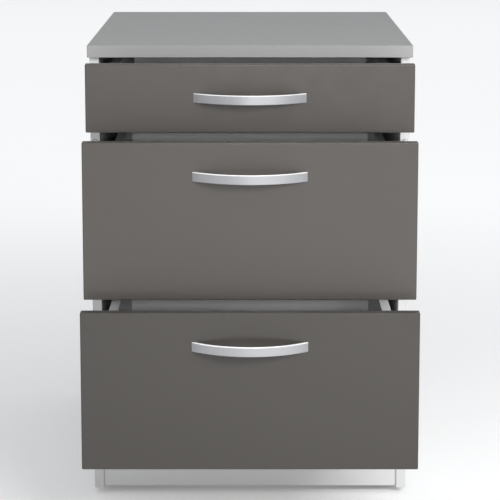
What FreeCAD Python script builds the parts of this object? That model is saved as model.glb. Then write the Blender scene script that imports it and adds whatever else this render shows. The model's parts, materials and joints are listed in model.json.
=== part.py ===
import FreeCAD, Part
import math
import os

import Sketcher
from FreeCAD import Placement, Rotation, Vector

# A pedestal cabinet with three drawers on concealed castors. The frame is in millimetres with
# +Z up and the drawers facing -Y. Its origin is on the floor, under the middle of the cabinet
# with its drawers drawn out as far as the drawn_ sizes say.

SIZES = {
    # carcass
    "carcass_width": 420,
    "side_thick": 12,
    "board_thick": 16,
    "top_width": 424,
    "top_depth": 580,
    "top_lead": 18,
    "top_level": 592.5,
    "foot_level": 8,
    "bottom_level": 68,
    "plinth_recess": 3,
    "plinth_foot": 9.5,
    "plinth_top": 92,
    "back_thick": 8,
    "back_inset": 10,
    "back_play": 0.1,
    "groove_depth": 6,
    "edge_round": 1,
    # drawer fronts
    "front_width": 420,
    "front_gap": 2,
    "front_joint": 3,
    "first_front": 97,
    "tall_front": 200,
    "low_front": 87.5,
    "front_round": 1.5,
    # how far each drawer is drawn out
    "drawn_top": 68,
    "drawn_middle": 140,
    "drawn_bottom": 204,
    # drawer boxes
    "box_depth": 500,
    "box_board": 12,
    "box_rise": 16,
    "tall_side": 150,
    "low_side": 60,
    "base_thick": 5,
    "base_rise": 10,
    "base_groove": 5,
    # bow handles
    "handle_width": 144,
    "handle_strip": 4,
    "handle_height": 12,
    "handle_rise": 30.5,
    "strip_round": 0.8,
    "handle_drop": 43,
    "boss_radius": 4,
    "boss_length": 3.2,
    "screw_span": 128,
    "handle_screw_radius": 2,
    "handle_screw_head": 4,
    "handle_head_height": 2.4,
    "screw_play": 0.1,
    "front_hole_radius": 2.3,
    "thread_length": 4.5,
    # ball runners, three members nested in each other
    "runner_space": 12.7,
    "runner_length": 480,
    "runner_setback": 6,
    "rail_web": 1,
    "rail_flange": 1.2,
    "rail_lip": 0.7,
    "cage_web": 0.6,
    "outer_rail_reach": 9.1,
    "outer_rail_height": 45,
    "outer_cage_reach": 5.8,
    "outer_cage_height": 40.2,
    "middle_rail_reach": 7.7,
    "middle_rail_height": 35.4,
    "inner_cage_reach": 5.5,
    "inner_cage_height": 30.6,
    "inner_rail_reach": 6.5,
    "inner_rail_height": 25.8,
    "outer_cage_gap": 1.7,
    "middle_web_gap": 3,
    "inner_cage_gap": 4.7,
    "outer_ball_reach": 3.6,
    "inner_ball_reach": 3.2,
    "cage_length": 200,
    "ball_radius": 1.5,
    "ball_hole_radius": 1.6,
    "ball_pitch": 24,
    "ball_count": 8,
    "rail_hole_radius": 3.3,
    # countersunk wood screws
    "wood_screw_radius": 1.6,
    "wood_screw_head": 3,
    "wood_head_depth": 2,
    "wood_screw_length": 10,
    # knock-down joints of the carcass
    "cam_radius": 6,
    "cam_depth": 9.5,
    "cam_reach": 28,
    "bolt_radius": 2.5,
    "bolt_seat": 9,
    "dowel_radius": 3,
    "dowel_half": 9,
    "dowel_offset": 32,
    "joint_play": 0.1,
    "top_joint_front": 60,
    "top_joint_rear": 460,
    "bottom_joint_front": 130,
    "bottom_joint_rear": 400,
    # buffers on the front edges of the side panels
    "buffer_radius": 4,
    "buffer_thick": 1.6,
    "buffer_margin": 20,
    # castors
    "castor_inset": 58,
    "plate_size": 48,
    "plate_thick": 2,
    "plate_screw_span": 36,
    "plate_hole_radius": 3.3,
    "socket_radius": 9,
    "socket_depth": 6,
    "stem_radius": 4,
    "stem_length": 9,
    "stem_root": 2,
    "stem_play": 0.08,
    "head_radius": 11,
    "head_height": 9.5,
    "head_gap": 0.5,
    "neck_drop": 8,
    "trail": 22,
    "wheel_radius": 25,
    "wheel_width": 9,
    "wheel_gap": 5.5,
    "wheel_round": 2,
    "hub_recess": 1.5,
    "hub_recess_radius": 17,
    "hub_boss_radius": 7,
    "web_radius": 21,
    "web_thick": 8,
    "hood_gap": 1.5,
    "hood_thick": 2.5,
    "hood_width": 31,
    "hood_angle": 140,
    "axle_radius": 3,
    "axle_length": 29,
    "axle_grip": 0.02,
    "axle_play": 0.08,
    # how far a cutting tool runs past the surface it cuts
    "overcut": 1,
}

UP = Vector(0, 0, 1)
RIGHT = Vector(1, 0, 0)
REAR = Vector(0, 1, 0)

doc = FreeCAD.newDocument("rolling_pedestal")
sheet = doc.addObject("Spreadsheet::Sheet", "sizes")
for row, (alias, value) in enumerate(SIZES.items(), start=1):
    sheet.set(f"A{row}", str(value))
    sheet.setAlias(f"A{row}", alias)
doc.recompute()

nodes = []


def size(alias):
    """The number in the sheet's cell of that name."""
    return float(getattr(sheet, alias))


def bind(item, **expressions):
    """Ties properties of an object to the sheet."""
    for name, expression in expressions.items():
        item.setExpression(name, expression)


def node(label, item, at=None):
    """Names a finished sub-part, puts its own origin at the point given, and keeps it for export."""
    item.Label = label
    if at is not None:
        item.Placement = Placement(at, item.Placement.Rotation)
    nodes.append(item)
    return item


# ---- building blocks ----------------------------------------------------------------------


def new_sketch(body, plane, name):
    """An empty sketch on one of the body's own origin planes."""
    sketch = body.newObject("Sketcher::SketchObject", name)
    support = next(f for f in body.Origin.OriginFeatures if f.Role == plane)
    sketch.AttachmentSupport = [(support, "")]
    sketch.MapMode = "FlatFace"
    return sketch


def constrain(sketch, kind, *references, by, near=10.0):
    """Adds a dimension whose value is a sheet expression; near is the value it starts from."""
    index = sketch.addConstraint(Sketcher.Constraint(kind, *references, near))
    sketch.setExpression(f"Constraints[{index}]", by)


def rectangle(sketch, left, low, width, height):
    """A rectangle whose low left corner and sizes are sheet expressions."""
    corners = [Vector(0, 0, 0), Vector(10, 0, 0), Vector(10, 10, 0), Vector(0, 10, 0)]
    first = sketch.GeometryCount
    for i in range(4):
        sketch.addGeometry(Part.LineSegment(corners[i], corners[(i + 1) % 4]))
    for i in range(4):
        sketch.addConstraint(Sketcher.Constraint("Coincident", first + i, 2, first + (i + 1) % 4, 1))
        direction = "Vertical" if i % 2 else "Horizontal"
        sketch.addConstraint(Sketcher.Constraint(direction, first + i))
    constrain(sketch, "DistanceX", -1, 1, first, 1, by=left)
    constrain(sketch, "DistanceY", -1, 1, first, 1, by=low)
    constrain(sketch, "DistanceX", first, 1, first, 2, by=width)
    constrain(sketch, "DistanceY", first + 1, 1, first + 1, 2, by=height)


def circle(sketch, across, along, radius):
    """A circle whose centre and radius are sheet expressions."""
    index = sketch.addGeometry(Part.Circle(Vector(1, 1, 0), Vector(0, 0, 1), 1.0))
    constrain(sketch, "DistanceX", -1, 1, index, 3, by=across)
    constrain(sketch, "DistanceY", -1, 1, index, 3, by=along)
    constrain(sketch, "Radius", index, by=radius)


def pad(body, sketch, length):
    feature = body.newObject("PartDesign::Pad", "pad")
    feature.Profile = sketch
    bind(feature, Length=length)
    doc.recompute()
    return feature


def pocket(body, sketch, depth, reverse=True):
    """Cuts a sketch into the body, along the sketch's normal unless reverse is off."""
    before = body.Shape.Volume
    feature = body.newObject("PartDesign::Pocket", "pocket")
    feature.Profile = sketch
    feature.Reversed = reverse
    bind(feature, Length=depth)
    doc.recompute()
    if body.Shape.Volume > before - 0.01:
        raise RuntimeError(f"{body.Label}: a pocket cut nothing")
    return feature


def board(name, width, depth, height):
    """A rectangular board with its low front left corner at its origin."""
    body = doc.addObject("PartDesign::Body", name)
    sketch = new_sketch(body, "XY_Plane", "outline")
    rectangle(sketch, "0", "0", width, depth)
    pad(body, sketch, height)
    return body


def ease(body, radius, chosen=lambda edge: True):
    """Rounds the chosen edges of the body's last feature."""
    last = body.Tip
    names = [f"Edge{i}" for i, edge in enumerate(last.Shape.Edges, start=1) if chosen(edge)]
    feature = body.newObject("PartDesign::Fillet", "ease")
    feature.Base = (last, names)
    bind(feature, Radius=radius)
    doc.recompute()
    return body


def rod(radius, length, at, direction=UP):
    """A round rod that starts at a point and runs along a direction."""
    cylinder = doc.addObject("Part::Cylinder", "rod")
    bind(cylinder, Radius=radius, Height=length)
    cylinder.Placement = Placement(at, Rotation(UP, direction))
    return cylinder


def group(items):
    """Several separate solids as one object."""
    compound = doc.addObject("Part::Compound", "group")
    compound.Links = items
    return compound


def fused(items):
    fusion = doc.addObject("Part::MultiFuse", "fusion")
    fusion.Shapes = items
    return fusion


def cut(blank, tools):
    """The blank less every tool."""
    result = doc.addObject("Part::Cut", "cut")
    result.Base = blank
    result.Tool = group(tools)
    return result


def mirrored(item):
    """The same piece on the other side of the cabinet's middle plane."""
    copy = doc.addObject("Part::Mirroring", "mirrored")
    copy.Source = item
    copy.Normal = RIGHT
    copy.Base = Vector(0, 0, 0)
    return copy


def both_sides(items):
    return items + [mirrored(item) for item in items]


def wood_screw(at, direction):
    """A countersunk screw whose head lies flush at a point and whose shank runs along a direction."""
    head = doc.addObject("Part::Cone", "screw_head")
    bind(head, Radius1="sizes.wood_screw_head", Radius2="sizes.wood_screw_radius")
    bind(head, Height="sizes.wood_head_depth")
    head.Placement = Placement(at, Rotation(UP, direction))
    shank = rod("sizes.wood_screw_radius", "sizes.wood_screw_length", at, direction)
    return fused([head, shank])


# ---- where things are ---------------------------------------------------------------------

foremost = size("front_gap") + size("board_thick") + size("drawn_bottom") + size("handle_rise")
carcass_depth = size("top_depth") - size("top_lead")
carcass_front = (foremost - carcass_depth) / 2
carcass_back = carcass_front + carcass_depth
inner_half = size("carcass_width") / 2 - size("side_thick")
back_face = carcass_back - size("back_inset") - size("back_thick")
plinth_back = carcass_front + size("plinth_recess") + size("board_thick")
box_half = inner_half - size("runner_space")


class Drawer:
    """One drawer: its name, the cells of its heights, its level, and how far it is drawn out."""

    def __init__(self, name, front_height, side_height, level, drawn):
        self.name = name
        self.front_height = front_height
        self.side_height = side_height
        self.level = level
        self.drawn = size(drawn)
        self.back_of_front = carcass_front - size("front_gap") - self.drawn
        self.side_level = level + size("box_rise")
        self.runner_level = self.side_level + size("low_side") / 2


storey = size("tall_front") + size("front_joint")
first_level = size("first_front")
DRAWERS = [
    Drawer("top_drawer", "low_front", "low_side", first_level + 2 * storey, "drawn_top"),
    Drawer("middle_drawer", "tall_front", "tall_side", first_level + storey, "drawn_middle"),
    Drawer("bottom_drawer", "tall_front", "tall_side", first_level, "drawn_bottom"),
]


# ---- carcass ------------------------------------------------------------------------------


class KnockDownJoint:
    """A cam, its bolt and a dowel beside them. The point lies in the plane where the two boards
    meet, the bolt runs inward into the board that holds the cam, and the cam opens to face."""

    def __init__(self, at, inward, face):
        cam_centre = at + inward * size("cam_reach")
        surface = cam_centre + face * self.half_board(face)
        self.cam = rod("sizes.cam_radius", "sizes.cam_depth", surface, -face)
        bolt_length = "sizes.bolt_seat + sizes.cam_reach - sizes.cam_radius - sizes.joint_play"
        bolt_start = at - inward * size("bolt_seat")
        self.bolt = rod("sizes.bolt_radius", bolt_length, bolt_start, inward)
        beside = at + REAR * size("dowel_offset")
        dowel_start = beside - inward * size("dowel_half")
        self.dowel = rod("sizes.dowel_radius", "2 * sizes.dowel_half", dowel_start, inward)
        loose_bolt = "sizes.bolt_radius + sizes.joint_play"
        loose_dowel = "sizes.dowel_radius + sizes.joint_play"
        dowel_hole = "sizes.dowel_half + sizes.joint_play"
        self.cam_board_holes = [
            rod("sizes.cam_radius + sizes.joint_play", "sizes.cam_depth + sizes.joint_play", surface, -face),
            rod(loose_bolt, "sizes.cam_reach", at, inward),
            rod(loose_dowel, dowel_hole, beside, inward),
        ]
        self.bolt_board_holes = [
            rod(loose_bolt, "sizes.bolt_seat + sizes.joint_play", at, -inward),
            rod(loose_dowel, dowel_hole, beside, -inward),
        ]

    @staticmethod
    def half_board(face):
        """Half the thickness of the board that holds the cam: an upright one's cam opens inward."""
        return size("side_thick" if face.z == 0 else "board_thick") / 2


def make_carcass():
    side_middle = inner_half + size("side_thick") / 2
    top_joints = [
        KnockDownJoint(Vector(side_middle, carcass_front + y, size("top_level")), -UP, -RIGHT)
        for y in (size("top_joint_front"), size("top_joint_rear"))
    ]
    bottom_middle = size("bottom_level") + size("board_thick") / 2
    bottom_joints = [
        KnockDownJoint(Vector(inner_half, carcass_front + y, bottom_middle), -RIGHT, -UP)
        for y in (size("bottom_joint_front"), size("bottom_joint_rear"))
    ]

    top = board("top_blank", "sizes.top_width", "sizes.top_depth", "sizes.board_thick")
    ease(top, "sizes.edge_round")
    top.Placement.Base = Vector(-size("top_width") / 2, carcass_front - size("top_lead"), size("top_level"))
    top_holes = [hole for joint in top_joints for hole in joint.bolt_board_holes]
    node("top_panel", cut(top, both_sides(top_holes)))

    side_holes = [hole for joint in top_joints for hole in joint.cam_board_holes]
    side_holes += [hole for joint in bottom_joints for hole in joint.bolt_board_holes]
    side = side_blank()
    side.Placement.Base = Vector(inner_half, carcass_front, size("foot_level"))
    right_side = node("right_side_panel", cut(side, side_holes))
    node("left_side_panel", mirrored(right_side))

    behind_plinth = "sizes.top_depth - sizes.top_lead - sizes.plinth_recess - sizes.board_thick"
    bottom_depth = behind_plinth + " - sizes.back_inset - sizes.back_thick"
    bottom_width = "sizes.carcass_width - 2 * sizes.side_thick"
    bottom = board("bottom_blank", bottom_width, bottom_depth, "sizes.board_thick")
    bottom.Placement.Base = Vector(-inner_half, plinth_back, size("bottom_level"))
    bottom_holes = [hole for joint in bottom_joints for hole in joint.cam_board_holes]
    node("bottom_panel", cut(bottom, both_sides(bottom_holes)))

    plinth_height = "sizes.plinth_top - sizes.plinth_foot"
    plinth = board("plinth", bottom_width, "sizes.board_thick", plinth_height)
    plinth_corner = Vector(-inner_half, carcass_front + size("plinth_recess"), size("plinth_foot"))
    node("plinth_panel", ease(plinth, "sizes.edge_round"), plinth_corner)

    back_width = "sizes.carcass_width - 2 * sizes.side_thick + 2 * sizes.groove_depth - 2 * sizes.back_play"
    back = board("back", back_width, "sizes.back_thick", "sizes.top_level - sizes.foot_level")
    back_left = -inner_half - size("groove_depth") + size("back_play")
    node("back_panel", back, Vector(back_left, back_face, size("foot_level")))

    joints = top_joints + bottom_joints
    fittings = [piece for joint in joints for piece in (joint.cam, joint.bolt)]
    node("cam_fittings", group(both_sides(fittings)))
    node("dowels", group(both_sides([joint.dowel for joint in joints])))


def side_blank():
    """The right side panel, its inner face at its origin, with a groove for the back panel."""
    depth = "sizes.top_depth - sizes.top_lead"
    body = board("side_blank", "sizes.side_thick", depth, "sizes.top_level - sizes.foot_level")
    sketch = new_sketch(body, "XY_Plane", "groove")
    start = depth + " - sizes.back_inset - sizes.back_thick - sizes.back_play"
    width = "sizes.back_thick + 2 * sizes.back_play"
    rectangle(sketch, "-sizes.overcut", start, "sizes.groove_depth + sizes.overcut", width)
    pocket(body, sketch, "sizes.top_level - sizes.foot_level")
    return body


def make_buffers():
    """Stick-on discs that the closed fronts rest against, near each front's corners."""
    middle = inner_half + size("side_thick") / 2
    margin = size("buffer_margin")
    levels = []
    for drawer in DRAWERS:
        levels += [drawer.level + margin, drawer.level + size(drawer.front_height) - margin]
    buffers = [
        rod("sizes.buffer_radius", "sizes.buffer_thick", Vector(middle, carcass_front, level), -REAR)
        for level in levels
    ]
    node("front_buffers", group(both_sides(buffers)))


# ---- runners ------------------------------------------------------------------------------


def channel(name, reach, height, web, length, lip="0"):
    """A C section along +Y. Its web is at its origin, its mouth faces -X, and it is centred on Z."""
    body = doc.addObject("PartDesign::Body", name)
    outline = new_sketch(body, "XZ_Plane", "outline")
    rectangle(outline, f"-({reach})", f"-({height}) / 2", reach, height)
    pad(body, outline, length).Reversed = True
    inside = new_sketch(body, "XZ_Plane", "inside")
    lip_wall = "sizes.rail_flange" if lip != "0" else "0"
    hollow_reach = f"({reach}) - ({web}) - ({lip_wall})"
    hollow_height = f"({height}) - 2 * sizes.rail_flange"
    rectangle(inside, f"-({web}) - ({hollow_reach})", f"-({hollow_height}) / 2", hollow_reach, hollow_height)
    pocket(body, inside, length, reverse=False)
    if lip != "0":
        mouth = new_sketch(body, "XZ_Plane", "mouth")
        mouth_height = f"({hollow_height}) - 2 * ({lip})"
        mouth_width = "sizes.rail_flange + 2 * sizes.overcut"
        rectangle(mouth, f"-({reach}) - sizes.overcut", f"-({mouth_height}) / 2", mouth_width, mouth_height)
        pocket(body, mouth, length, reverse=False)
    return body


# Where a rail's screws are, as shares of its length.
RAIL_SCREWS = (0.08, 0.5, 0.92)


def rail_screw_points(surface, drawer, start):
    """Where the screws of one rail go: three along it, on its web's inner surface."""
    length = size("runner_length")
    return [Vector(surface, start + share * length, drawer.runner_level) for share in RAIL_SCREWS]


def drilled_rail(rail, points, direction):
    """A rail with a round hole through its web at each screw."""
    before = direction * size("overcut")
    through = "sizes.rail_web + 2 * sizes.overcut"
    tools = [rod("sizes.rail_hole_radius", through, point - before, direction) for point in points]
    return cut(rail, tools)


def ball_cage(name, reach, height, ball_reach):
    """A thin retainer channel with a row of ball holes through each flange, and its balls."""
    body = channel(name, reach, height, "sizes.cage_web", "sizes.cage_length")
    holes = new_sketch(body, "XY_Plane", "ball_hole")
    margin = "(sizes.cage_length - (sizes.ball_count - 1) * sizes.ball_pitch) / 2"
    circle(holes, f"-({ball_reach})", margin, "sizes.ball_hole_radius")
    drilling = pocket(body, holes, f"{height} + 2 * sizes.overcut")
    drilling.Midplane = True
    rows = body.newObject("PartDesign::LinearPattern", "ball_row")
    rows.Originals = [drilling]
    rows.Direction = (holes, ["V_Axis"])
    bind(rows, Length="(sizes.ball_count - 1) * sizes.ball_pitch", Occurrences="sizes.ball_count")
    body.Tip = rows
    doc.recompute()
    return body


def balls(centre_x, row_height, start, level):
    """The balls of one cage: a row above and a row below the runner's middle."""
    count = int(size("ball_count"))
    margin = (size("cage_length") - (count - 1) * size("ball_pitch")) / 2
    spheres = []
    for side in (-1, 1):
        for i in range(count):
            sphere = doc.addObject("Part::Sphere", "ball")
            bind(sphere, Radius="sizes.ball_radius")
            at = Vector(centre_x, start + margin + i * size("ball_pitch"), level + side * row_height)
            sphere.Placement = Placement(at, Rotation())
            spheres.append(sphere)
    return spheres


def make_runners(drawer):
    """One drawer's runners: cabinet, middle and drawer rails with two ball cages between them."""
    length = size("runner_length")
    start = carcass_front + size("runner_setback")
    level = drawer.runner_level

    outer = channel(
        "outer_rail", "sizes.outer_rail_reach", "sizes.outer_rail_height", "sizes.rail_web",
        "sizes.runner_length", lip="sizes.rail_lip",
    )
    outer.Placement.Base = Vector(inner_half, start, level)
    outer_screws = rail_screw_points(inner_half - size("rail_web"), drawer, start)
    node(f"{drawer.name}_cabinet_rails", group(both_sides([drilled_rail(outer, outer_screws, RIGHT)])))
    carcass_screws.extend(both_sides([wood_screw(point, RIGHT) for point in outer_screws]))

    middle = channel(
        "middle_rail", "sizes.middle_rail_reach", "sizes.middle_rail_height", "sizes.rail_web",
        "sizes.runner_length",
    )
    middle_web = inner_half - size("middle_web_gap")
    middle.Placement.Base = Vector(middle_web, start - drawer.drawn / 2, level)
    node(f"{drawer.name}_middle_rails", group(both_sides([middle])))

    inner = channel(
        "inner_rail", "sizes.inner_rail_reach", "sizes.inner_rail_height", "sizes.rail_web",
        "sizes.runner_length",
    )
    inner.Placement = Placement(Vector(box_half, start - drawer.drawn, level), Rotation(REAR, 180))
    inner_screws = rail_screw_points(box_half + size("rail_web"), drawer, start - drawer.drawn)
    node(f"{drawer.name}_box_rails", group(both_sides([drilled_rail(inner, inner_screws, -RIGHT)])))

    cage_start = start + (length - size("cage_length")) / 2
    for side, travelled in (("outer", drawer.drawn / 4), ("inner", drawer.drawn * 3 / 4)):
        row_height = size(f"{side}_cage_height") / 2 - size("rail_flange") / 2
        cage = ball_cage(
            f"{side}_cage", f"sizes.{side}_cage_reach", f"sizes.{side}_cage_height",
            f"sizes.{side}_ball_reach",
        )
        at = Vector(inner_half - size(f"{side}_cage_gap"), cage_start - travelled, level)
        cage.Placement.Base = at
        pieces = [cage] + balls(at.x - size(f"{side}_ball_reach"), row_height, at.y, level)
        node(f"{drawer.name}_{side}_ball_cages", group(both_sides(pieces)))
    return both_sides([wood_screw(point, -RIGHT) for point in inner_screws])


# ---- drawers ------------------------------------------------------------------------------


def arc_end(sketch, arc, side):
    """Which end of an arc lies on the given side of the middle plane."""
    return min((1, 2), key=lambda end: -side * sketch.getPoint(arc, end).x)


def bow_outline(body):
    """Two arcs about one centre, cut off flat where they meet the front."""
    sketch = new_sketch(body, "XY_Plane", "outline")
    half, rise = size("handle_width") / 2, size("handle_rise")
    outer_radius = (half**2 + rise**2) / (2 * rise)
    centre_y = outer_radius - rise
    inner_radius = outer_radius - size("handle_strip")
    inner_half = math.sqrt(inner_radius**2 - centre_y**2)
    for reach, radius in ((half, outer_radius), (inner_half, inner_radius)):
        crest = Vector(0, centre_y - radius, 0)
        sketch.addGeometry(Part.Arc(Vector(-reach, 0, 0), crest, Vector(reach, 0, 0)))
    for side in (-1, 1):
        sketch.addGeometry(Part.LineSegment(Vector(side * half, 0, 0), Vector(side * inner_half, 0, 0)))
    for line, side in ((2, -1), (3, 1)):
        for end, arc in ((1, 0), (2, 1)):
            arc_point = arc_end(sketch, arc, side)
            sketch.addConstraint(Sketcher.Constraint("Coincident", line, end, arc, arc_point))
            sketch.addConstraint(Sketcher.Constraint("PointOnObject", line, end, -1))
    sketch.addConstraint(Sketcher.Constraint("Coincident", 0, 3, 1, 3))
    sketch.addConstraint(Sketcher.Constraint("PointOnObject", 0, 3, -2))
    radius_text = "((sizes.handle_width / 2) ^ 2 + sizes.handle_rise ^ 2) / (2 * sizes.handle_rise)"
    constrain(sketch, "Radius", 0, by=radius_text, near=outer_radius)
    constrain(sketch, "Radius", 1, by=f"{radius_text} - sizes.handle_strip", near=inner_radius)
    constrain(sketch, "DistanceY", -1, 1, 0, 3, by=f"{radius_text} - sizes.handle_rise", near=centre_y)
    return sketch


def bow_handle(name):
    """A flat strip bent to one bow, with a threaded boss behind each end. Its back lies in XZ."""
    body = doc.addObject("PartDesign::Body", name)
    pad(body, bow_outline(body), "sizes.handle_height").Midplane = True
    doc.recompute()
    ease(body, "sizes.strip_round", lambda edge: edge.Length > size("handle_width"))
    bosses = new_sketch(body, "XZ_Plane", "bosses")
    threads = new_sketch(body, "XZ_Plane", "threads")
    for across in ("-sizes.screw_span / 2", "sizes.screw_span / 2"):
        circle(bosses, across, "0", "sizes.boss_radius")
        circle(threads, across, "0", "sizes.handle_screw_radius + sizes.screw_play")
    pad(body, bosses, "sizes.boss_length")
    pocket(body, threads, "sizes.thread_length")
    return body


def handle_screw(at):
    """A machine screw from inside the drawer, its head on the back of the front."""
    length = "sizes.board_thick + sizes.thread_length - sizes.screw_play"
    shank = rod("sizes.handle_screw_radius", length, at, -REAR)
    head = rod("sizes.handle_screw_head", "sizes.handle_head_height", at, REAR)
    return fused([head, shank])


def drawer_side(drawer):
    """The right side of a drawer box, its outer face at its origin, grooved for the base."""
    body = board(f"{drawer.name}_side", "sizes.box_board", "sizes.box_depth", f"sizes.{drawer.side_height}")
    sketch = new_sketch(body, "XZ_Plane", "groove")
    groove_reach = "sizes.base_groove + sizes.overcut"
    rectangle(sketch, "-sizes.overcut", "sizes.base_rise", groove_reach, "sizes.base_thick")
    pocket(body, sketch, "sizes.box_depth", reverse=False)
    return body


def make_drawer(drawer):
    """A box of two sides and a back with a grooved base, behind a front that carries the handle."""
    face = drawer.back_of_front
    front_height = f"sizes.{drawer.front_height}"
    handle_level = drawer.level + size(drawer.front_height) - size("handle_drop")
    screw_points = [Vector(side * size("screw_span") / 2, face, handle_level) for side in (-1, 1)]

    front = board(f"{drawer.name}_blank", "sizes.front_width", "sizes.board_thick", front_height)
    ease(front, "sizes.front_round")
    front.Placement.Base = Vector(-size("front_width") / 2, face - size("board_thick"), drawer.level)
    through = "sizes.board_thick + 2 * sizes.overcut"
    behind = REAR * size("overcut")
    drillings = [rod("sizes.front_hole_radius", through, point + behind, -REAR) for point in screw_points]
    node(f"{drawer.name}_front", cut(front, drillings))

    inside = box_half - size("box_board")
    side = node(f"{drawer.name}_right_side", drawer_side(drawer), Vector(inside, face, drawer.side_level))
    node(f"{drawer.name}_left_side", mirrored(side))

    base_level = drawer.side_level + size("base_rise")
    clear_width = "sizes.carcass_width - 2 * (sizes.side_thick + sizes.runner_space + sizes.box_board)"
    base_width = clear_width + " + 2 * (sizes.base_groove - sizes.joint_play)"
    base = board(f"{drawer.name}_base", base_width, "sizes.box_depth", "sizes.base_thick")
    base_left = -inside - size("base_groove") + size("joint_play")
    node(f"{drawer.name}_base", base, Vector(base_left, face, base_level))

    back_height = f"sizes.{drawer.side_height} - sizes.base_rise - sizes.base_thick"
    back = board(f"{drawer.name}_back", clear_width, "sizes.box_board", back_height)
    back_start = face + size("box_depth") - size("box_board")
    node(f"{drawer.name}_back", back, Vector(-inside, back_start, base_level + size("base_thick")))

    handle = bow_handle(f"{drawer.name}_bow")
    node(f"{drawer.name}_handle", handle, Vector(0, face - size("board_thick"), handle_level))
    screws = [handle_screw(point) for point in screw_points] + make_runners(drawer)
    node(f"{drawer.name}_screws", group(screws))


# ---- castors ------------------------------------------------------------------------------


def castor_plate(at):
    """A mounting plate with a socket under it, holed for the stem and four screws."""
    half = size("plate_size") / 2
    plate = doc.addObject("Part::Box", "plate")
    bind(plate, Length="sizes.plate_size", Width="sizes.plate_size", Height="sizes.plate_thick")
    under = at - UP * size("plate_thick")
    plate.Placement.Base = under - Vector(half, half, 0)
    socket = rod("sizes.socket_radius", "sizes.socket_depth", under, -UP)
    mouth = under - UP * (size("socket_depth") + size("overcut"))
    bore_depth = "sizes.socket_depth + sizes.plate_thick"
    bore = rod("sizes.stem_radius + sizes.stem_play", bore_depth, mouth)
    below = UP * size("overcut")
    through = "sizes.plate_thick + 2 * sizes.overcut"
    holes = [rod("sizes.plate_hole_radius", through, point - below) for point in plate_screw_points(under)]
    return cut(fused([plate, socket]), [bore] + holes)


def plate_screw_points(under):
    half = size("plate_screw_span") / 2
    return [under + Vector(x * half, y * half, 0) for x in (-1, 1) for y in (-1, 1)]


def castor_hood(name, at):
    """The swivelling part: stem and head, a web between the wheels, and a hood over them."""
    axle_at = at + Vector(0, size("trail"), size("wheel_radius"))
    head_top = size("bottom_level") - size("plate_thick") - size("socket_depth") - size("head_gap")
    head_foot = at + UP * (head_top - size("head_height"))
    head = rod("sizes.head_radius", "sizes.head_height", head_foot)
    stem = rod("sizes.stem_radius", "sizes.stem_length", at + UP * (head_top - size("stem_root")))
    web_start = axle_at - RIGHT * (size("web_thick") / 2)
    web = rod("sizes.web_radius", "sizes.web_thick", web_start, RIGHT)
    neck = doc.addObject("Part::Box", "neck")
    bind(neck, Length="sizes.web_thick", Width="sizes.trail + sizes.head_radius / 2")
    bind(neck, Height="sizes.head_height + sizes.neck_drop")
    neck_corner = Vector(-size("web_thick") / 2, -size("head_radius") / 2, -size("neck_drop"))
    neck.Placement.Base = head_foot + neck_corner
    hood = hood_shell(axle_at)
    bore_start = axle_at - RIGHT * size("web_thick")
    bore = rod("sizes.axle_radius + sizes.axle_grip", "2 * sizes.web_thick", bore_start, RIGHT)
    node(name, cut(fused([head, stem, web, neck, hood]), [bore]))


def hood_shell(axle_at):
    """A curved cover over both wheels, as long round the axle as hood_angle says."""
    start = axle_at - RIGHT * (size("hood_width") / 2)
    inner_radius = "sizes.wheel_radius + sizes.hood_gap"
    outer = rod(f"{inner_radius} + sizes.hood_thick", "sizes.hood_width", start, RIGHT)
    bind(outer, Angle="sizes.hood_angle")
    inner = rod(inner_radius, "sizes.hood_width + 2 * sizes.overcut", start - RIGHT * size("overcut"), RIGHT)
    first = 90 - size("hood_angle") / 2
    turn = Rotation(RIGHT, first)
    outer.Placement = Placement(start, turn * Rotation(REAR, UP, RIGHT))
    return cut(outer, [inner])


def castor_wheel(name):
    """A wheel along +X from its inner face, with rounded shoulders and a dished outer face."""
    body = doc.addObject("PartDesign::Body", name)
    profile = new_sketch(body, "XY_Plane", "profile")
    bore = "sizes.axle_radius + sizes.axle_play"
    rectangle(profile, "0", bore, "sizes.wheel_width", f"sizes.wheel_radius - ({bore})")
    revolution = body.newObject("PartDesign::Revolution", "revolution")
    revolution.Profile = profile
    revolution.ReferenceAxis = (profile, ["H_Axis"])
    revolution.Angle = 360
    doc.recompute()
    rim = size("wheel_radius")
    ease(body, "sizes.wheel_round", lambda edge: is_circle(edge, rim))
    dish = new_sketch(body, "XY_Plane", "dish")
    dish_depth = "sizes.hub_recess + sizes.overcut"
    dish_height = "sizes.hub_recess_radius - sizes.hub_boss_radius"
    dish_floor = "sizes.wheel_width - sizes.hub_recess"
    rectangle(dish, dish_floor, "sizes.hub_boss_radius", dish_depth, dish_height)
    groove = body.newObject("PartDesign::Groove", "groove")
    groove.Profile = dish
    groove.ReferenceAxis = (dish, ["H_Axis"])
    groove.Angle = 360
    doc.recompute()
    return body


def is_circle(edge, radius):
    curve = edge.Curve
    return curve.TypeId == "Part::GeomCircle" and abs(curve.Radius - radius) < 0.01


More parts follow.
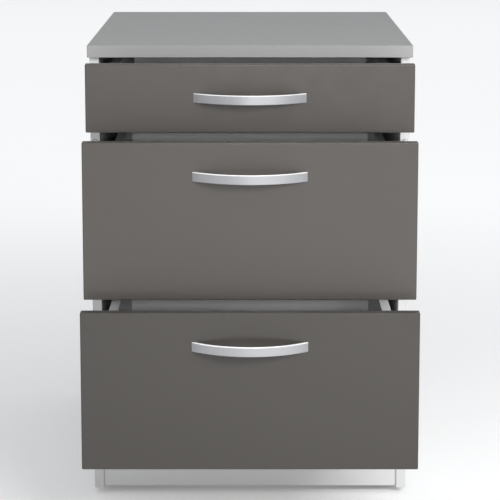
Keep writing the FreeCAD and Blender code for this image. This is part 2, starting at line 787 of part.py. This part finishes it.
def make_castors():
    across = inner_half - size("castor_inset")
    front = plinth_back + size("castor_inset")
    rear = back_face - size("castor_inset")
    places = {
        "front_left": Vector(-across, front, 0),
        "front_right": Vector(across, front, 0),
        "rear_left": Vector(-across, rear, 0),
        "rear_right": Vector(across, rear, 0),
    }
    plates = []
    for name, place in places.items():
        plate_at = place + UP * size("bottom_level")
        plates.append(castor_plate(plate_at))
        under = plate_at - UP * size("plate_thick")
        carcass_screws.extend(wood_screw(point, UP) for point in plate_screw_points(under))
        castor_hood(f"{name}_castor_hood", place)
        axle_at = place + Vector(0, size("trail"), size("wheel_radius"))
        axle_start = axle_at - RIGHT * (size("axle_length") / 2)
        node(f"{name}_castor_axle", rod("sizes.axle_radius", "sizes.axle_length", axle_start, RIGHT))
        right_wheel = castor_wheel("right_wheel")
        right_wheel.Placement.Base = axle_at + RIGHT * size("wheel_gap")
        left_wheel = castor_wheel("left_wheel")
        left_wheel.Placement = Placement(axle_at - RIGHT * size("wheel_gap"), Rotation(UP, 180))
        node(f"{name}_castor_wheels", group([left_wheel, right_wheel]))
    node("castor_plates", group(plates))


# ---- the whole cabinet --------------------------------------------------------------------

carcass_screws = []
make_carcass()
make_buffers()
for drawer in DRAWERS:
    make_drawer(drawer)
make_castors()
node("carcass_screws", group(carcass_screws))
doc.recompute()

for item in doc.Objects:
    if "Invalid" in item.State or "Error" in item.State:
        raise RuntimeError(f"{item.Label} failed: {item.State}")
for item in nodes:
    if item.Shape.isNull() or not item.Shape.isValid():
        raise RuntimeError(f"{item.Label} has no valid shape")

os.makedirs("parts", exist_ok=True)
for item in nodes:
    item.Shape.exportStep(f"parts/{item.Label}.step")
print(f"{len(nodes)} sub-parts written")
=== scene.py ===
import json
import math

import bmesh
import bpy
from mathutils import Matrix, Vector


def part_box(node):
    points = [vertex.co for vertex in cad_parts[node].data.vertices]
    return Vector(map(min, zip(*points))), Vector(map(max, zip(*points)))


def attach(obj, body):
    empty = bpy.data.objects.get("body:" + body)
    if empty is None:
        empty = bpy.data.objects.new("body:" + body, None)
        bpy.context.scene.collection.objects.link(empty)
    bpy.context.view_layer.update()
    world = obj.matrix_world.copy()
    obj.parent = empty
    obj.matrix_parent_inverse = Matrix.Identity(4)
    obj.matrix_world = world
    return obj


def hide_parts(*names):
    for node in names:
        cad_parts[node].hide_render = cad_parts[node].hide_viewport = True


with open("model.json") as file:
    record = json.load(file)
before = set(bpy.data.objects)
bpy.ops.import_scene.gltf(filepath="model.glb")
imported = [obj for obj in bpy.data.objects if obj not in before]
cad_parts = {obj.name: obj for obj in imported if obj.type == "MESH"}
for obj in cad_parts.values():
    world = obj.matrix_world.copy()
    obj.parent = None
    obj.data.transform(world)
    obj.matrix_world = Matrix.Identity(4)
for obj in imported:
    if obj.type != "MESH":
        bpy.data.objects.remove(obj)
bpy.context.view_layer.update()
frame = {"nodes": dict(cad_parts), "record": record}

# The looks of a pedestal cabinet: three drawers with bow handles, on concealed castors.
# Lengths are in metres, colours are linear.

NODES = frame["nodes"]
RECORD = frame["record"]
BODY_OF = {node: body for body, members in RECORD["behaviour"]["bodies"].items() for node in members}
SLOT_OF = {part["node"]: part["material_slot"] for part in RECORD["subparts"]}
DRAWERS = ("top_drawer", "middle_drawer", "bottom_drawer")
CASTORS = ("front_left", "front_right", "rear_left", "rear_right")
MM = 0.001
AXES = (Vector((1, 0, 0)), Vector((0, 1, 0)), Vector((0, 0, 1)))


# ---- camera, floor and light ----------------------------------------------------------------

EYE_DISTANCE = 3.0365
EYE_HEIGHT = 0.8657
EYE_PITCH = 0.1821
LENS = 158.8

WORLD_COLOUR = (0.97, 0.985, 1.0)
HORIZON_STRENGTH = 0.22
ZENITH_STRENGTH = 0.92
LEFT_SHARE = 0.7
KEY_AZIMUTH = math.radians(24)
KEY_ELEVATION = math.radians(20)
KEY_DISTANCE = 2.3
KEY_WIDTH = 1.2
KEY_HEIGHT = 0.45
KEY_POWER = 35.0
FILL_SIZE = 0.08
FILL_POWER = 11.5
FLOOR_COLOUR = (0.9, 0.9, 0.9)
FLOOR_GLOW = (0.14, 0.36)
FLOOR_GLOW_SPAN = (0.4, 2.6)
FLOOR_HALF = 40.0
FLOOR_FADE_SPAN = (7.0, 28.0)
FLOOR_FAR_SHADE = 0.28


def make_camera():
    camera = bpy.data.objects.new("camera", bpy.data.cameras.new("camera"))
    camera.data.lens = LENS
    camera.location = (0, -EYE_DISTANCE, EYE_HEIGHT)
    camera.rotation_euler = (math.pi / 2 - EYE_PITCH, 0, 0)
    bpy.context.scene.collection.objects.link(camera)
    bpy.context.scene.camera = camera


def make_world():
    """A studio that is brightest overhead and a little dimmer on the left."""
    world = bpy.data.worlds.new("studio")
    world.use_nodes = True
    tree = world.node_tree
    background = tree.nodes["Background"]
    background.inputs["Color"].default_value = (*WORLD_COLOUR, 1)
    direction = tree.nodes.new("ShaderNodeTexCoord")
    parts = tree.nodes.new("ShaderNodeSeparateXYZ")
    tree.links.new(direction.outputs["Generated"], parts.inputs[0])
    shades = []
    for axis, low, high, dim, bright in (
        ("X", -1, 0, LEFT_SHARE, 1), ("Z", 0, 1, HORIZON_STRENGTH, ZENITH_STRENGTH),
    ):
        shade = tree.nodes.new("ShaderNodeMapRange")
        tree.links.new(parts.outputs[axis], shade.inputs["Value"])
        for socket, number in zip(shade.inputs[1:5], (low, high, dim, bright)):
            socket.default_value = number
        shades.append(shade.outputs[0])
    product = tree.nodes.new("ShaderNodeMath")
    product.operation = "MULTIPLY"
    for socket, shade in zip(product.inputs, shades):
        tree.links.new(shade, socket)
    tree.links.new(product.outputs[0], background.inputs["Strength"])
    bpy.context.scene.world = world
    bpy.context.scene.view_settings.view_transform = "Standard"


def make_key_light():
    """One large soft box to the right of the camera, above the cabinet and aimed at it."""
    target = Vector((0, 0, 0.3))
    direction = Vector((
        math.sin(KEY_AZIMUTH) * math.cos(KEY_ELEVATION),
        -math.cos(KEY_AZIMUTH) * math.cos(KEY_ELEVATION),
        math.sin(KEY_ELEVATION),
    ))
    light = bpy.data.lights.new("soft_box", "AREA")
    light.shape = "RECTANGLE"
    light.size = KEY_WIDTH
    light.size_y = KEY_HEIGHT
    light.energy = KEY_POWER
    lamp = bpy.data.objects.new("soft_box", light)
    lamp.location = target + direction * KEY_DISTANCE
    lamp.rotation_euler = direction.to_track_quat("Z", "Y").to_euler()
    bpy.context.scene.collection.objects.link(lamp)


def make_fill_light():
    """A small lamp beside the lens, which reaches into the gaps between the fronts."""
    light = bpy.data.lights.new("fill", "AREA")
    light.shape = "DISK"
    light.size = FILL_SIZE
    light.energy = FILL_POWER
    lamp = bpy.data.objects.new("fill", light)
    lamp.location = (0, -EYE_DISTANCE, EYE_HEIGHT)
    lamp.rotation_euler = (math.pi / 2 - EYE_PITCH, 0, 0)
    bpy.context.scene.collection.objects.link(lamp)


def make_floor():
    """A pale floor, painted darker far away as painted shade, whose emission is painted light that
    rises with distance.
    """
    mesh = bpy.data.meshes.new("floor")
    half = FLOOR_HALF
    corners = [(-half, -half, 0), (half, -half, 0), (half, half, 0), (-half, half, 0)]
    mesh.from_pydata(corners, [], [(0, 1, 2, 3)])
    floor = bpy.data.objects.new("floor", mesh)
    bpy.context.scene.collection.objects.link(floor)
    finish = Finish("studio_floor")
    tone = finish.blend(finish.noise(3, 2), FLOOR_COLOUR, shaded(FLOOR_COLOUR, 0.985))
    finish.set("Roughness", 0.9)
    finish.set("Specular IOR Level", 0.1)
    finish.set("Emission Color", (1, 1, 1, 1))
    across, depth, _ = finish.axes()
    away = finish.length(across, depth)
    # Painted shade and painted light: far off, the colour is darkened, and the glow rises with
    # distance before it fades.
    fade = finish.ranged(away, *FLOOR_FADE_SPAN, 1, 0)
    finish.colour(finish.blend(fade, shaded(FLOOR_COLOUR, FLOOR_FAR_SHADE), tone))
    glow = finish.sum("MULTIPLY", fade, finish.ranged(away, *FLOOR_GLOW_SPAN, *FLOOR_GLOW))
    finish.feed(finish.shader.inputs["Emission Strength"], glow)
    mesh.materials.append(finish.material)


# ---- materials ------------------------------------------------------------------------------


class Finish:
    """A material, with short ways to build its nodes. Textures follow the frame's own axes."""

    def __init__(self, name):
        self.material = bpy.data.materials.new(name)
        self.material.use_nodes = True
        self.tree = self.material.node_tree
        self.shader = self.tree.nodes["Principled BSDF"]
        self.place = self.add("ShaderNodeTexCoord").outputs["Object"]
        self.normal = None

    def add(self, kind, **settings):
        node = self.tree.nodes.new(kind)
        for name, value in settings.items():
            setattr(node, name, value)
        return node

    def feed(self, socket, value):
        """Puts a number, a colour or another node's output into a socket."""
        if isinstance(value, bpy.types.NodeSocket):
            self.tree.links.new(value, socket)
        elif isinstance(value, (int, float)):
            socket.default_value = value
        else:
            socket.default_value = [*value, 1][: len(socket.default_value)]

    def set(self, name, value):
        self.shader.inputs[name].default_value = value

    def sum(self, operation, *values):
        """One step of arithmetic on numbers or other nodes' outputs."""
        node = self.add("ShaderNodeMath", operation=operation)
        for socket, value in zip(node.inputs, values):
            self.feed(socket, value)
        return node.outputs[0]

    def length(self, one, other):
        """The length of a vector with these two parts."""
        squares = [self.sum("MULTIPLY", part, part) for part in (one, other)]
        return self.sum("SQRT", self.sum("ADD", *squares))

    def axes(self):
        """The three coordinates of the shaded point."""
        node = self.add("ShaderNodeSeparateXYZ")
        self.feed(node.inputs[0], self.place)
        return list(node.outputs)

    def join(self, *parts):
        node = self.add("ShaderNodeCombineXYZ")
        for socket, part in zip(node.inputs, parts):
            self.feed(socket, part)
        return node.outputs[0]

    def stretched(self, scales):
        node = self.add("ShaderNodeMapping")
        self.feed(node.inputs["Vector"], self.place)
        node.inputs["Scale"].default_value = scales
        return node.outputs[0]

    def noise(self, scale, detail, vector=None, rough=0.55):
        node = self.add("ShaderNodeTexNoise")
        self.feed(node.inputs["Vector"], vector or self.place)
        node.inputs["Scale"].default_value = scale
        node.inputs["Detail"].default_value = detail
        node.inputs["Roughness"].default_value = rough
        return node.outputs["Fac"]

    def cells(self, scale):
        node = self.add("ShaderNodeTexVoronoi")
        self.feed(node.inputs["Vector"], self.place)
        node.inputs["Scale"].default_value = scale
        return node.outputs["Distance"]

    def ranged(self, value, low, high, to_low, to_high):
        """A value mapped from one range to another, and held inside it."""
        node = self.add("ShaderNodeMapRange", interpolation_type="SMOOTHSTEP")
        for socket, number in zip(node.inputs, (value, low, high, to_low, to_high)):
            self.feed(socket, number)
        return node.outputs[0]

    def blend(self, share, first, second):
        node = self.add("ShaderNodeMix", data_type="RGBA")
        self.feed(node.inputs["Factor"], share)
        self.feed(node.inputs[6], first)
        self.feed(node.inputs[7], second)
        return node.outputs[2]

    def colour(self, value):
        self.feed(self.shader.inputs["Base Color"], value)

    def roughness(self, value):
        self.feed(self.shader.inputs["Roughness"], value)

    def bump(self, height, depth, strength=1.0):
        """Adds relief whose full height is depth, over any relief that is already there."""
        node = self.add("ShaderNodeBump")
        node.inputs["Strength"].default_value = strength
        node.inputs["Distance"].default_value = depth
        self.feed(node.inputs["Height"], height)
        if self.normal is not None:
            self.feed(node.inputs["Normal"], self.normal)
        self.normal = node.outputs[0]
        self.feed(self.shader.inputs["Normal"], self.normal)


def shaded(colour, share):
    return [channel * share for channel in colour]


BAND = 1.0 * MM
SEAM = 0.22 * MM


def edge_distance(finish, low, high, thin):
    """How far a point of a board is from the nearest of its narrow faces."""
    distances = []
    for axis, here in enumerate(finish.axes()):
        if axis == thin:
            continue
        from_low = finish.sum("SUBTRACT", here, low[axis])
        from_high = finish.sum("SUBTRACT", high[axis], here)
        distances.append(finish.sum("MINIMUM", from_low, from_high))
    return finish.sum("MINIMUM", *distances)


def laminate(name, node, colour, gloss, pearl, tint=0.03, edge=0.97):
    """Melamine-faced board: pearl grain, faint cloudiness, and an edge band with its seam. A low edge
    tone is painted shade on the narrow faces.
    """
    finish = Finish(name)
    low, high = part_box(node)
    lengths = high - low
    thin = min(range(3), key=lambda axis: lengths[axis])
    cloud = finish.noise(9, 3)
    grain = finish.noise(900, 3, rough=0.65)
    fleck = finish.ranged(finish.noise(420, 2), 0.56, 0.74, 0, 1)
    base = finish.blend(cloud, shaded(colour, 1 - tint), shaded(colour, 1 + tint))
    base = finish.blend(finish.sum("MULTIPLY", fleck, 0.35), base, shaded(colour, 1 + 3 * tint))
    distance = edge_distance(finish, low, high, thin)
    seam = finish.ranged(
        finish.sum("ABSOLUTE", finish.sum("SUBTRACT", distance, BAND)), 0, SEAM, 1, 0,
    )
    band = finish.ranged(distance, BAND * 0.9, BAND, 1, 0)
    # The band's tone on the narrow faces is a slight real edge-band tone near 1, and painted shade
    # where it is set low, as on the top.
    base = finish.blend(band, base, shaded(colour, edge))
    base = finish.blend(finish.sum("MULTIPLY", seam, 0.4), base, shaded(colour, 0.55))
    finish.colour(base)
    rough = finish.ranged(finish.noise(60, 4), 0.3, 0.7, gloss - 0.03, gloss + 0.03)
    rough = finish.sum("ADD", rough, finish.sum("MULTIPLY", band, 0.06))
    finish.roughness(rough)
    finish.bump(grain, pearl)
    finish.bump(seam, -0.05 * MM)
    return finish


TOP_COLOUR = (0.385, 0.385, 0.382)
CARCASS_COLOUR = (0.575, 0.575, 0.575)
FRONT_COLOUR = (0.0765, 0.070, 0.0645)
# Painted shade: the bottom drawer front is darkened to 0.7 of the front colour, for the dimmer light
# it gets.
FRONT_PAINTED_SHADE = {"bottom_drawer_front": 0.7}
BOX_COLOUR = (0.84, 0.842, 0.85)
BASE_COLOUR = (0.62, 0.62, 0.615)


def top_laminate(node):
    # edge=0.74 is painted shade: it darkens the top's narrow faces, whose front edge faces the soft
    # box.
    return laminate(f"top_laminate_{node}", node, TOP_COLOUR, 0.42, 0.03 * MM, edge=0.74)


def carcass_laminate(node):
    return laminate(f"carcass_laminate_{node}", node, CARCASS_COLOUR, 0.45, 0.03 * MM, 0.015)


def front_laminate(node):
    # tone is the painted shade share: below 1 it darkens this front for the light it gets, not for
    # its laminate.
    tone = FRONT_PAINTED_SHADE.get(node, 1)
    colour = shaded(FRONT_COLOUR, tone)
    finish = laminate(f"front_laminate_{node}", node, colour, 0.24, 0.006 * MM, 0.02)
    finish.set("Specular IOR Level", 0.32)
    return finish


def box_laminate(node):
    return laminate(f"box_laminate_{node}", node, BOX_COLOUR, 0.5, 0.03 * MM, 0.03)


def base_board(node):
    """Hardboard with a printed face: crossed fibres under a thin coat."""
    finish = Finish(f"base_board_{node}")
    along = finish.noise(1, 4, finish.stretched((60, 900, 900)))
    across = finish.noise(1, 4, finish.stretched((900, 60, 900)))
    fibres = finish.sum("MULTIPLY", along, across)
    finish.colour(finish.blend(
        finish.ranged(fibres, 0.1, 0.4, 0, 1), shaded(BASE_COLOUR, 0.93), shaded(BASE_COLOUR, 1.04),
    ))
    finish.roughness(finish.ranged(finish.noise(80, 3), 0.3, 0.7, 0.5, 0.62))
    finish.bump(fibres, 0.05 * MM)
    return finish


ALUMINIUM_COLOUR = (0.355, 0.357, 0.371)
# Painted highlight: a near-white, non-metallic strip along the top edge of each handle, for the light
# from above.
HIGHLIGHT_COLOUR = (0.93, 0.93, 0.935)
HIGHLIGHT_DEPTH = 0.9 * MM


def satin_aluminium(node):
    """Anodised aluminium brushed along the bow, with a painted highlight along its upper edge."""
    finish = Finish(f"satin_aluminium_{node}")
    low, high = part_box(node)
    half, rise = (high.x - low.x) / 2, high.y - low.y
    bow_radius = (half**2 + rise**2) / (2 * rise)
    across, depth, level = finish.axes()
    radius = finish.length(across, finish.sum("SUBTRACT", depth, low.y + bow_radius))
    flow = finish.join(
        finish.sum("MULTIPLY", across, 30), finish.sum("MULTIPLY", radius, 5200),
        finish.sum("MULTIPLY", level, 5200),
    )
    brushing = finish.noise(1, 4, flow, 0.6)
    cloud = finish.noise(70, 3)
    satin = finish.blend(cloud, shaded(ALUMINIUM_COLOUR, 0.97), ALUMINIUM_COLOUR)
    # Painted highlight: the top edge turns near-white and loses its metallic look.
    painted_highlight = finish.ranged(
        finish.sum("SUBTRACT", high.z, level), 0.8 * HIGHLIGHT_DEPTH, HIGHLIGHT_DEPTH, 1, 0,
    )
    finish.colour(finish.blend(painted_highlight, satin, HIGHLIGHT_COLOUR))
    finish.feed(finish.shader.inputs["Metallic"], finish.ranged(painted_highlight, 0, 1, 0.45, 0))
    rough = finish.ranged(brushing, 0.25, 0.75, 0.3, 0.4)
    finish.roughness(rough)
    finish.bump(brushing, 0.004 * MM, 0.6)
    return finish


def plated_steel(name, colour, low_rough, high_rough):
    """Zinc plate: cloudy patches and fine drawing lines along the cabinet's depth."""
    finish = Finish(name)
    patches = finish.noise(45, 5)
    lines = finish.noise(1, 3, finish.stretched((2600, 25, 2600)))
    specks = finish.cells(420)
    shares = finish.sum("MULTIPLY", patches, 0.7), finish.sum("MULTIPLY", lines, 0.3)
    tone = finish.sum("ADD", *shares)
    bright = finish.ranged(tone, 0.3, 0.7, 0, 1)
    finish.colour(finish.blend(bright, shaded(colour, 0.82), shaded(colour, 1.08)))
    finish.set("Metallic", 1.0)
    finish.roughness(finish.ranged(tone, 0.3, 0.7, high_rough, low_rough))
    finish.bump(lines, 0.006 * MM)
    finish.bump(specks, 0.004 * MM, 0.5)
    return finish


def zinc_steel(node):
    return plated_steel(f"zinc_steel_{node}", (0.62, 0.63, 0.65), 0.28, 0.42)


def bright_steel(node):
    return plated_steel(f"bright_steel_{node}", (0.70, 0.70, 0.71), 0.14, 0.26)


def moulded(name, colour, gloss, grain):
    """Moulded plastic or rubber with a spark-eroded grain and a little dust."""
    finish = Finish(name)
    pits = finish.cells(1600)
    fine = finish.noise(1300, 3)
    dust = finish.ranged(finish.noise(120, 6, rough=0.7), 0.52, 0.75, 0, 1)
    base = finish.blend(finish.noise(30, 3), shaded(colour, 0.9), shaded(colour, 1.1))
    base = finish.blend(finish.sum("MULTIPLY", dust, 0.12), base, (0.32, 0.31, 0.30))
    finish.colour(base)
    finish.roughness(finish.sum("ADD", finish.sum("MULTIPLY", dust, 0.15), gloss))
    finish.bump(pits, grain)
    finish.bump(fine, grain * 0.5)
    return finish


def castor_plastic(node):
    return moulded(f"castor_plastic_{node}", (0.028, 0.028, 0.030), 0.42, 0.02 * MM)


def castor_tyre(node):
    return moulded(f"castor_tyre_{node}", (0.045, 0.045, 0.047), 0.6, 0.03 * MM)


def dowel_wood(node):
    """Beech: long pale fibres with short dark flecks."""
    finish = Finish(f"dowel_wood_{node}")
    fibres = finish.noise(1, 5, finish.stretched((700, 700, 60)))
    flecks = finish.ranged(finish.noise(1, 2, finish.stretched((1500, 1500, 250))), 0.6, 0.72, 0, 1)
    base = finish.blend(fibres, (0.62, 0.43, 0.26), (0.75, 0.57, 0.38))
    finish.colour(finish.blend(finish.sum("MULTIPLY", flecks, 0.5), base, (0.40, 0.24, 0.13)))
    finish.roughness(finish.ranged(fibres, 0.3, 0.7, 0.6, 0.75))
    finish.bump(fibres, 0.08 * MM)
    return finish


def clear_rubber(node):
    """Soft translucent bumpers with a faint haze."""
    finish = Finish(f"clear_rubber_{node}")
    haze = finish.noise(500, 3)
    finish.colour(finish.blend(haze, (0.78, 0.80, 0.82), (0.88, 0.89, 0.90)))
    finish.roughness(finish.ranged(haze, 0.3, 0.7, 0.15, 0.3))
    finish.set("Transmission Weight", 0.6)
    finish.set("IOR", 1.45)
    finish.bump(haze, 0.01 * MM)
    return finish


FINISHES = {
    "top_laminate": top_laminate,
    "carcass_laminate": carcass_laminate,
    "front_laminate": front_laminate,
    "box_laminate": box_laminate,
    "base_board": base_board,
    "satin_aluminium": satin_aluminium,
    "zinc_steel": zinc_steel,
    "bright_steel": bright_steel,
    "castor_plastic": castor_plastic,
    "castor_tyre": castor_tyre,
    "dowel_wood": dowel_wood,
    "clear_rubber": clear_rubber,
}


def dress_nodes():
    """Gives every CAD node the finish of its slot."""
    for name, item in NODES.items():
        finish = FINISHES[SLOT_OF[name]](name)
        item.data.materials.clear()
        item.data.materials.append(finish.material)


# ---- small fittings -------------------------------------------------------------------------

ROUND = 28
CREASE = math.radians(32)
RECESS_TAPER = 0.6
RIB_DRAFT = 0.85
BLOCK_FACES = (
    (0, 1, 2, 3), (4, 5, 6, 7), (0, 1, 5, 4), (1, 2, 6, 5), (2, 3, 7, 6), (3, 0, 4, 7),
)


def solids(node):
    """The lowest corner, highest corner and points of each separate solid of a CAD node."""
    shape = bmesh.new()
    shape.from_mesh(NODES[node].data)
    bmesh.ops.remove_doubles(shape, verts=shape.verts, dist=0.01 * MM)
    left = set(shape.verts)
    found = []
    while left:
        group = [left.pop()]
        for vert in group:
            near = {edge.other_vert(vert) for edge in vert.link_edges} & left
            left -= near
            group.extend(near)
        points = [vert.co.copy() for vert in group]
        low = Vector([min(point[axis] for point in points) for axis in range(3)])
        high = Vector([max(point[axis] for point in points) for axis in range(3)])
        found.append((low, high, points))
    shape.free()
    return sorted(found, key=lambda solid: tuple(round(number, 5) for number in solid[0]))


class Fitting:
    """One mesh that gathers turned solids, in the frame's own coordinates."""

    def __init__(self):
        self.shape = bmesh.new()

    def turned(self, start, along, profile, closed=False):
        """Adds a solid of revolution from (distance along its axis, radius) pairs."""
        side = along.orthogonal().normalized()
        other = along.cross(side)
        rings = []
        for distance, radius in profile:
            centre = start + along * distance
            ring = []
            for step in range(ROUND if radius else 1):
                angle = math.tau * step / ROUND
                spoke = side * math.cos(angle) + other * math.sin(angle)
                ring.append(self.shape.verts.new(centre + spoke * radius))
            rings.append(ring)
        for first, second in zip(rings, rings[1:] + rings[:1] * closed):
            for step in range(ROUND):
                here, there = step, step + 1
                corners = (
                    first[here % len(first)], first[there % len(first)],
                    second[there % len(second)], second[here % len(second)],
                )
                self.shape.faces.new(list(dict.fromkeys(corners)))
        return rings

    def recess(self, rim, outward, reach, half, depth):
        """Closes a rim with a flat face that holds a cross-shaped recess."""
        centre = sum((vert.co for vert in rim), Vector()) / len(rim)
        side = (rim[0].co - centre).normalized()
        other = outward.cross(side)
        outline = []
        for _ in range(4):
            for far, wide in ((reach, half), (half, half), (half, reach)):
                outline.append(side * far + other * wide)
            side, other = other, -side
        top = [self.shape.verts.new(centre + corner) for corner in outline]
        floor = centre - outward * depth
        foot = [self.shape.verts.new(floor + corner * RECESS_TAPER) for corner in outline]
        for step in range(len(top)):
            self.shape.faces.new((top[step - 1], top[step], foot[step], foot[step - 1]))
        self.shape.faces.new(foot)
        edges = []
        for loop in (rim, top):
            edges += [self.shape.edges.get((loop[step - 1], loop[step])) for step in range(len(loop))]
        bmesh.ops.triangle_fill(self.shape, edges=edges, use_beauty=True)

    def block(self, centre, directions, sizes):
        """Adds a rib: a block that is a little narrower at its far end."""
        corners = []
        for level, draft in ((-1, 1), (1, RIB_DRAFT)):
            for one, two in ((-1, -1), (1, -1), (1, 1), (-1, 1)):
                place = centre.copy()
                for direction, size, share in zip(directions, sizes, (one, two * draft, level)):
                    place += direction * (share * size / 2)
                corners.append(self.shape.verts.new(place))
        for face in BLOCK_FACES:
            self.shape.faces.new([corners[index] for index in face])

    def piece(self, name, slot, node):
        """Makes the mesh a piece that stands for a CAD node and rides on its body."""
        bmesh.ops.recalc_face_normals(self.shape, faces=self.shape.faces)
        mesh = bpy.data.meshes.new(name)
        self.shape.to_mesh(mesh)
        self.shape.free()
        mesh.shade_smooth()
        mesh.set_sharp_from_angle(angle=CREASE)
        mesh.materials.append(FINISHES[slot](name).material)
        item = bpy.data.objects.new(name, mesh)
        bpy.context.scene.collection.objects.link(item)
        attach(item, BODY_OF[node])
        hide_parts(node)


def scaled(profile):
    """A profile written in millimetres, in metres."""
    return [(distance * MM, radius * MM) for distance, radius in profile]


def threaded(start, end, core, crest, pitch):
    """Rings that alternate between a thread's core and its crest."""
    rings = []
    while start + pitch <= end:
        rings += [(start, core), (start + 0.35 * pitch, crest), (start + 0.5 * pitch, crest)]
        start += pitch
    return rings


# Profiles in millimetres: distance along the axis, and radius.
WOOD_SCREW = [
    (0, 2.9), (0.2, 3.0), (2.0, 1.6), *threaded(2.5, 8.4, 1.1, 1.6, 0.9), (8.6, 1.1), (10, 0),
]
HANDLE_SCREW = [
    (0, 2.7), (0.5, 3.5), (1.2, 4.0), (2.4, 4.0), (2.4, 2.0), (12, 2.0),
    *threaded(12.2, 22, 1.65, 2.0, 0.7), (22.8, 1.5), (22.8, 0),
]
CAM = [(0, 5.4), (0.5, 5.95), (9.5, 5.95), (9.5, 0)]
CAM_BOLT = [
    (0, 0), (0, 2.1), *threaded(0.3, 9, 1.9, 2.5, 1.3), (9.6, 2.5), (24, 2.5), (25, 1.6),
    (30.9, 1.6), (30.9, 0),
]
BUFFER = [(0, 0), (0, 4.0), (0.6, 3.97), (1.1, 3.6), (1.4, 2.8), (1.56, 1.6), (1.6, 0)]
TYRE = [
    (0.6, 18.8), (0.1, 19.6), (0, 23.0), (0.3, 24.1), (0.9, 24.75), (1.6, 25.0), (3.8, 25.0),
    (4.1, 24.7), (4.9, 24.7), (5.2, 25.0), (7.4, 25.0), (8.1, 24.75), (8.7, 24.1), (9, 23.0),
    (8.9, 19.6), (8.4, 18.8),
]
HUB = [
    (0.2, 3.1), (0, 3.5), (0, 6.3), (0.4, 6.8), (2.6, 7.0), (2.6, 16.6), (0.5, 17.0),
    (0.2, 17.5), (0.2, 19.2), (8.8, 19.2), (8.8, 3.1),
]

# Cross recesses in metres: reach and half width of an arm, and depth.
HANDLE_SCREW_CROSS = (2.0 * MM, 0.4 * MM, 1.4 * MM)
WOOD_SCREW_CROSS = (1.7 * MM, 0.35 * MM, 1.3 * MM)
CAM_CROSS = (3.6 * MM, 0.6 * MM, 2.6 * MM)

LONGEST_WOOD_SCREW = 15 * MM
LONGEST_CAM = 20 * MM
HUB_RIBS = 7
RIB_DEPTH = 1.7 * MM
RIB_MIDDLE = 11.8 * MM
RIB_SIZE = (10 * MM, 1.6 * MM, 1.8 * MM)


def axis_of(low, high):
    """The longest direction of a box."""
    lengths = high - low
    return max(range(3), key=lambda axis: lengths[axis])


def end_radius(points, axis, level, centre):
    """How wide a solid is at one end of its axis."""
    ends = [point - centre for point in points if abs(point[axis] - level) < 0.05 * MM]
    return max(math.hypot(*(end[other] for other in range(3) if other != axis)) for end in ends)


def make_screws(node, name):
    """Screws with a cross recess in the head and a ringed thread, where the node has its own."""
    screws = Fitting()
    for low, high, points in solids(node):
        axis = axis_of(low, high)
        centre = (low + high) / 2
        low_radius, high_radius = (end_radius(points, axis, end[axis], centre) for end in (low, high))
        along = AXES[axis] * (-1 if high_radius > low_radius else 1)
        length = high[axis] - low[axis]
        profile, cross = WOOD_SCREW, WOOD_SCREW_CROSS
        if length > LONGEST_WOOD_SCREW:
            profile, cross = HANDLE_SCREW, HANDLE_SCREW_CROSS
        rings = screws.turned(centre - along * length / 2, along, scaled(profile))
        screws.recess(rings[0], -along, *cross)
    screws.piece(name, "zinc_steel", node)


def make_cams():
    """Cams with a cross recess in the face that shows, and the bolts that they pull in."""
    cams = Fitting()
    for low, high, _ in solids("cam_fittings"):
        centre = (low + high) / 2
        lengths = high - low
        long_axis = axis_of(low, high)
        if lengths[long_axis] > LONGEST_CAM:
            along = AXES[long_axis] * (-1 if centre[long_axis] > 0 else 1)
            cams.turned(centre - along * lengths[long_axis] / 2, along, scaled(CAM_BOLT))
            continue
        axis = min(range(3), key=lambda other: lengths[other])
        along = AXES[axis] * (1 if centre[axis] > 0 else -1)
        rings = cams.turned(centre - along * lengths[axis] / 2, along, scaled(CAM))
        cams.recess(rings[0], -along, *CAM_CROSS)
    cams.piece("cams_and_bolts", "zinc_steel", "cam_fittings")


def make_buffers():
    """Soft domes that the closed fronts rest against."""
    buffers = Fitting()
    for low, high, _ in solids("front_buffers"):
        centre = (low + high) / 2
        buffers.turned(Vector((centre.x, high.y, centre.z)), -AXES[1], scaled(BUFFER))
    buffers.piece("domed_buffers", "clear_rubber", "front_buffers")


def make_wheels(castor):
    """Twin wheels: grooved tyres on ribbed hubs whose dishes face outwards."""
    node = f"{castor}_castor_wheels"
    tyres, hubs = Fitting(), Fitting()
    middle = sum(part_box(node), Vector()) / 2
    for low, high, _ in solids(node):
        centre = (low + high) / 2
        along = AXES[0] * (1 if centre.x < middle.x else -1)
        start = centre - along * (high.x - low.x) / 2
        tyres.turned(start, along, scaled(TYRE), closed=True)
        hubs.turned(start, along, scaled(HUB), closed=True)
        for rib in range(HUB_RIBS):
            angle = math.tau * rib / HUB_RIBS
            spoke = AXES[1] * math.cos(angle) + AXES[2] * math.sin(angle)
            place = start + along * RIB_DEPTH + spoke * RIB_MIDDLE
            hubs.block(place, (spoke, AXES[0].cross(spoke), -along), RIB_SIZE)
    tyres.piece(f"{castor}_tyres", "castor_tyre", node)
    hubs.piece(f"{castor}_hubs", "castor_plastic", node)


def make_fittings():
    make_screws("carcass_screws", "carcass_wood_screws")
    for drawer in DRAWERS:
        make_screws(f"{drawer}_screws", f"{drawer}_cross_screws")
    make_cams()
    make_buffers()
    for castor in CASTORS:
        make_wheels(castor)


make_camera()
make_world()
make_key_light()
make_fill_light()
make_floor()
dress_nodes()
make_fittings()
